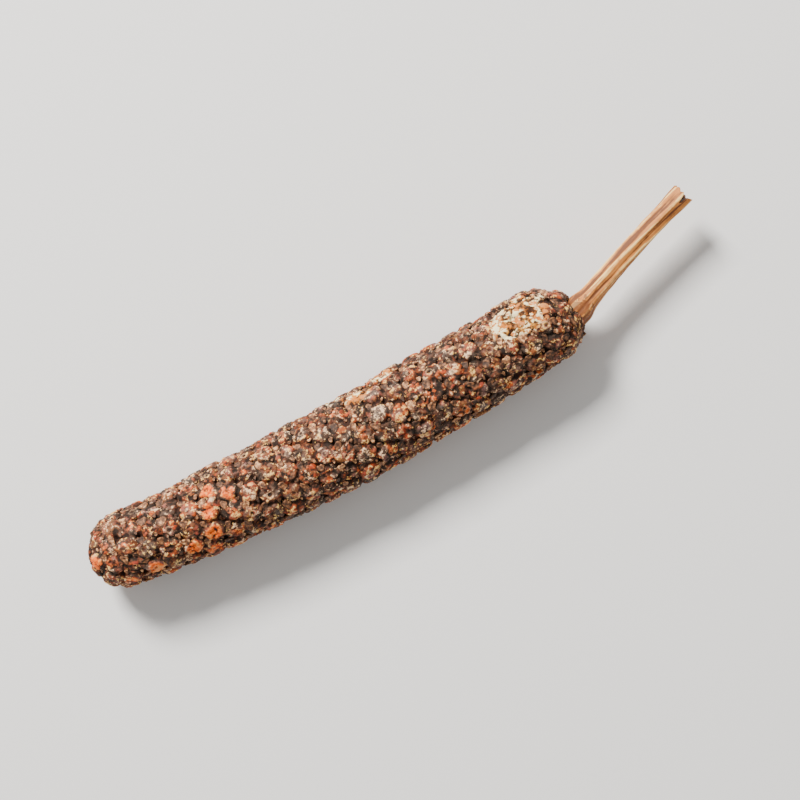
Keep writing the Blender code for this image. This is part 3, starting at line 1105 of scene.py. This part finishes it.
# %% Rust, specks and glints, pits and shade
RUST = (1.0, 0.165, 0.001)
RUST_SHADED = (0.68, 0.074, 0.001)
RUST_EDGE = (0.30, 0.75)
RUST_LIT_LEVEL = (-0.02, 0.34)
RUST_LEVEL = (-0.06, 0.16)
CREAM_SPECK_AND_GLINT = (1.0, 0.63, 0.35)
GOLD_SPECK_AND_GLINT = (1.0, 0.60, 0.17)
GOLD_EDGE = (0.35, 0.60)
SPECK_GLINT_EDGE = (0.67, 0.74)
SPECK_GLINT_MOST = 0.90
RUST_OVER_SPECKS_AND_GLINTS = 0.5
DARK_PIT_AND_SHADE = (0.014, 0.005, 0.002)
PIT_SHADE_EDGE = (0.56, 0.65)
PIT_AND_SHADE_MOST = 0.75
SCAR_PIT_EDGE = (0.15, 0.7)
SCAR_RING_EDGE = (0.35, 0.9)
SCAR_RING_MOST = 0.3


def rust_and_specks(net, look, colour):
    rust = (look.rust + uneven((look.grain, 0.5), (look.middle, 1.6), (look.fine, 0.5))).between(*RUST_EDGE)
    # rust painted brighter on high spots and deeper low down: painted light and shade on the rust
    rust_lit = (look.level + uneven((look.fine, 1.2))).between(*RUST_LIT_LEVEL)
    rusty = plain(net, RUST_SHADED).toward(RUST, rust_lit)
    colour = colour.toward(rusty, rust * look.level.between(*RUST_LEVEL))
    golden = (look.shade + uneven((look.patchy, 0.8))).between(*GOLD_EDGE)
    # specks on the raised spots of the bump: partly pale grains, partly painted glints
    specks_and_glints = (0.8 * look.fine + 0.35 * look.middle + 0.08 * look.rise).between(*SPECK_GLINT_EDGE)
    pale = plain(net, CREAM_SPECK_AND_GLINT).toward(GOLD_SPECK_AND_GLINT, golden)
    colour = colour.toward(pale, specks_and_glints * (SPECK_GLINT_MOST - RUST_OVER_SPECKS_AND_GLINTS * rust))
    # dark in the low spots of the bump: partly pits, partly painted shade
    pits_and_shade = 1 - (0.6 * look.fine + 0.6 * look.middle + 0.3 * look.grain).between(*PIT_SHADE_EDGE)
    colour = colour.toward(DARK_PIT_AND_SHADE, pits_and_shade * PIT_AND_SHADE_MOST)
    colour = colour.toward(DARK_PIT_AND_SHADE, look.pit.between(*SCAR_PIT_EDGE) * PIT_AND_SHADE_MOST)
    return colour.toward(CREAM_SPECK_AND_GLINT, look.scar.between(*SCAR_RING_EDGE) * SCAR_RING_MOST)


# %% [markdown]
# Where the skin is rubbed off, the flesh under it shows: cream and ochre in small grains, with dark pits
# between them, painted darker where the level is low, partly as painted shade. Its edge is frayed by the
# same noises as the skin, so that it looks worn and not painted on.

# %% Rubbed flesh
FLESH = (0.66, 0.28, 0.040)
FLESH_PALE = (1.0, 0.86, 0.50)
FLESH_OCHRE = (0.58, 0.150, 0.004)
FLESH_PIT_AND_SHADE = (0.060, 0.020, 0.006)
PALE_EDGE = (0.45, 0.53)
OCHRE_EDGE = (0.53, 0.59)
OCHRE_MOST = 0.9
FLESH_PIT_SHADE_EDGE = (-0.12, 0.22)
RUBBED_EDGE = (0.22, 0.44)


def rubbed_flesh(net, look, colour):
    pale = (look.middle + uneven((look.grain, 0.6))).between(*PALE_EDGE)
    ochre = (look.fine + uneven((look.shade, 0.4), (look.patchy, 0.8))).between(*OCHRE_EDGE)
    flesh = plain(net, FLESH).toward(FLESH_PALE, pale).toward(FLESH_OCHRE, ochre * OCHRE_MOST)
    # flesh painted dark where the level is low: partly pits, partly painted shade
    flesh = flesh.toward(FLESH_PIT_AND_SHADE, 1 - (look.level + uneven((look.middle, 0.7))).between(*FLESH_PIT_SHADE_EDGE))
    rubbed = look.rubbed + uneven((look.grain, 0.55), (look.fine, 0.9), (look.middle, 0.5))
    return colour.toward(flesh, rubbed.between(*RUBBED_EDGE))


# %% [markdown]
# The whole finish puts the colours in their order. The crowns are a little glossier than the creases,
# and bump adds the grain that is too fine for the mesh.

# %% The berries' finish
GLOSSY_LEVEL = (0.20, 0.6)
SKIN_ROUGHNESS = 0.85
CROWN_GLOSS = 0.38
SKIN_BUMP = 0.12 * MM
SPECULAR = 0.4


def paint_berries(piece):
    net, shader = new_material("dried_berries_finish", piece)
    look = look_up_skin(net)
    colour = rust_and_specks(net, look, skin_colour(net, look))
    connect(rubbed_flesh(net, look, colour), shader, "Base Color")
    connect(SKIN_ROUGHNESS - CROWN_GLOSS * look.level.between(*GLOSSY_LEVEL), shader, "Roughness")
    add_bump(net, shader, 0.65 * look.fine + 0.8 * look.middle + 0.3 * look.finest, SKIN_BUMP)
    shader.inputs["Specular IOR Level"].default_value = SPECULAR
    print("the berries' finish has", len(net.tree.nodes), "nodes")


paint_berries(spike)

# %% [markdown]
# The scales are tan to brown, a few are almost cream, and those in the rubbed patch are as pale as its
# flesh. One colour for each scale would look like confetti, so noise makes them as patchy as the
# berries.

# %% The scales' finish
SCALE_COLOURS = ((0.0, (0.035, 0.013, 0.005)), (0.35, (0.105, 0.042, 0.017)), (0.70, (0.30, 0.115, 0.042)),
                 (1.0, (0.75, 0.400, 0.180)))
SCALE_GRAIN = 0.14
SCALE_SHADE = 0.12
SCALE_PALE_EDGE = (0.45, 0.75)
SCALE_RUBBED_EDGE = (0.15, 0.5)
SCALE_ROUGHNESS = 0.7
SCALE_BUMP = 0.06 * MM


def paint_scales(piece):
    net, shader = new_material("flower_scales_finish", piece)
    fine = grain(net, place_in_mm(net), SCALE_GRAIN, 3.0)
    shade = SCALE_SHADE + 0.62 * attribute(net, "tone") + uneven((fine, 2.6))
    flesh = plain(net, FLESH_OCHRE).toward(FLESH_PALE, (fine + 0.2 * shade).between(*SCALE_PALE_EDGE))
    rubbed = attribute(net, "rubbed").between(*SCALE_RUBBED_EDGE)
    connect(ramp(net, SCALE_COLOURS, shade).toward(flesh, rubbed), shader, "Base Color")
    shader.inputs["Roughness"].default_value = SCALE_ROUGHNESS
    add_bump(net, shader, fine, SCALE_BUMP)
    print("the scales' finish has", len(net.tree.nodes), "nodes")


paint_scales(scales)

# %% [markdown]
# The stalk is straw coloured with an orange cast, painted darker in the grooves between its ribs and paler
# on their crests, partly the fibres' own colour and partly painted shade and painted highlight. Its foot is
# speckled brown, and the hollow in its torn end is painted dark, as painted shade. Its fibres run
# lengthwise. A wood grain image could show them, but noise that is squeezed round the stalk and drawn out
# along it does too: the mesh carries a place of its own for that, which follows the twist.

# %% The stalk's finish
STALK_GROOVE_SHADE = (0.165, 0.050, 0.012)
STALK_SKIN = (0.62, 0.218, 0.042)
STALK_CREST_HIGHLIGHT = (1.0, 0.66, 0.23)
STALK_FOOT_BROWN = (0.200, 0.058, 0.014)
STALK_HOLLOW_SHADE = (0.022, 0.010, 0.005)
FIBRE_DRAWN_OUT = (1.0, 1.0, 0.07)
THREAD_SIZE = 0.12
STRAND_SIZE = 0.28
BLOTCH_SIZE = 0.8
STALK_SPECK_SIZE = 0.22
RIB_SHARE = 0.50
SKIN_EDGE = (-0.05, 0.35)
CREST_HIGHLIGHT_EDGE = (0.38, 0.68)
CREST_HIGHLIGHT_MOST = 0.95
FOOT_EDGE = (0.62, 0.85)
FOOT_MOST = 0.8
HOLLOW_SHADE_EDGE = (0.2, 1.0)
HOLLOW_SHADE_MOST = 0.9
STALK_ROUGHNESS = 0.72
STRAND_GLOSS = 0.18
STALK_BUMP = 0.08 * MM


def paint_stalk(piece):
    net, shader = new_material("dry_stalk_finish", piece)
    fibre = attribute(net, "fibre", "Vector")
    drawn = net.node("VectorMath", {"operation": "MULTIPLY"}, {0: fibre, 1: FIBRE_DRAWN_OUT})
    thread = grain(net, drawn, THREAD_SIZE)
    strand = grain(net, drawn, STRAND_SIZE)
    blotch = grain(net, fibre, BLOTCH_SIZE, 3.0)
    speck = grain(net, fibre, STALK_SPECK_SIZE, 3.0)
    fibres = uneven((strand, 0.9), (thread, 1.1), (blotch, 0.35), (speck, 0.4))
    height = RIB_SHARE * attribute(net, "rib") + fibres
    # darker in the grooves and paler on the crests: partly fibre colour, partly painted shade and painted
    # highlight
    colour = plain(net, STALK_GROOVE_SHADE).toward(STALK_SKIN, height.between(*SKIN_EDGE))
    colour = colour.toward(STALK_CREST_HIGHLIGHT, height.between(*CREST_HIGHLIGHT_EDGE) * CREST_HIGHLIGHT_MOST)
    foot = (attribute(net, "foot") + uneven((speck, 2.6), (blotch, 1.2))).between(*FOOT_EDGE)
    colour = colour.toward(STALK_FOOT_BROWN, foot * FOOT_MOST)
    # the torn end's hollow painted dark, as painted shade
    colour = colour.toward(STALK_HOLLOW_SHADE, attribute(net, "cut").between(*HOLLOW_SHADE_EDGE) * HOLLOW_SHADE_MOST)
    connect(colour, shader, "Base Color")
    connect(STALK_ROUGHNESS - STRAND_GLOSS * strand, shader, "Roughness")
    add_bump(net, shader, 0.6 * thread + strand, STALK_BUMP)
    shader.inputs["Specular IOR Level"].default_value = SPECULAR
    print("the stalk's finish has", len(net.tree.nodes), "nodes")


paint_stalk(stalk)

# %% [markdown]
# The stage is a plain pale floor. Several lights could share the work, but each would soften what the
# others draw. So one broad light stands at the upper left of the picture, low enough to draw every
# berry, and a pale surround fills its shadows. The camera looks straight down, turned so that the spike
# climbs from the lower left to the upper right.

# %% The stage
CLIMB = math.radians(28.3)
FLOOR_SIDE = 1.2
FLOOR_COLOUR = (0.88, 0.875, 0.865, 1)
FLOOR_ROUGHNESS = 0.9
KEY_PLACE = (-0.20, 0.26, 0.30)
KEY_SIZE = 0.12
KEY_POWER = 4.6
KEY_COLOUR = (1.0, 0.97, 0.93)
SURROUND_COLOUR = (1.0, 0.99, 0.97, 1)
SURROUND_STRENGTH = 0.50


def make_floor():
    half = FLOOR_SIDE / 2
    mesh = bpy.data.meshes.new("floor")
    mesh.from_pydata([(-half, -half, 0), (half, -half, 0), (half, half, 0), (-half, half, 0)], [],
                     [(0, 1, 2, 3)])
    floor = bpy.data.objects.new("floor", mesh)
    bpy.context.scene.collection.objects.link(floor)
    _, shader = new_material("floor_paint", floor)
    shader.inputs["Base Color"].default_value = FLOOR_COLOUR
    shader.inputs["Roughness"].default_value = FLOOR_ROUGHNESS
    floor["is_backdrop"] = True


def in_picture(right, up, height):
    """A place given by how far it is to the right and up in the picture, and how high above the floor."""
    return Vector((right * math.cos(CLIMB) + up * math.sin(CLIMB),
                   up * math.cos(CLIMB) - right * math.sin(CLIMB), height))


def add_key_light(aim):
    light = bpy.data.lights.new("key_light", "AREA")
    light.size = KEY_SIZE
    light.energy = KEY_POWER
    light.color = KEY_COLOUR
    lamp = bpy.data.objects.new("key_light", light)
    lamp.location = in_picture(*KEY_PLACE)
    lamp.rotation_euler = (aim - lamp.location).to_track_quat("-Z", "Y").to_euler()
    bpy.context.scene.collection.objects.link(lamp)


def make_surround():
    world = bpy.data.worlds.new("surround")
    world.use_nodes = True
    background = world.node_tree.nodes["Background"]
    background.inputs["Color"].default_value = SURROUND_COLOUR
    background.inputs["Strength"].default_value = SURROUND_STRENGTH
    bpy.context.scene.world = world


middle_of_pepper = (cad_box[0] + cad_box[1]) / 2
make_floor()
add_key_light(middle_of_pepper)
make_surround()
print("one light and the surround shine on a floor of", FLOOR_SIDE, "m")

# %% [markdown]
# A long lens from well above keeps the spike's round sides from leaning, as in the picture it was made
# after. A camera without perspective would do that too, but no real one is.

# %% The camera
LENS = 100.0
PICTURE_WIDTH = 71.0 * MM
CLIP_START = 1.0 * MM
camera_data = bpy.data.cameras.new("camera")
camera_data.lens = LENS
camera_data.clip_start = CLIP_START
camera = bpy.data.objects.new("camera", camera_data)
camera_height = LENS / camera_data.sensor_width * PICTURE_WIDTH + middle_of_pepper.z
camera.location = middle_of_pepper.xy.to_3d() + Vector((0, 0, camera_height))
camera.rotation_euler = Euler((0, 0, -CLIMB))
bpy.context.scene.collection.objects.link(camera)
bpy.context.scene.camera = camera
print("the camera stands", round(camera_height / MM), "mm above the floor")

# %% [markdown]
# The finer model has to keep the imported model's size. Both boxes are written down, to be compared.

# %% Sizes
made_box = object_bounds()
for name, box in (("packed", cad_box), ("made", made_box)):
    print(name, [round(side / MM, 2) for side in box[1] - box[0]], "mm")
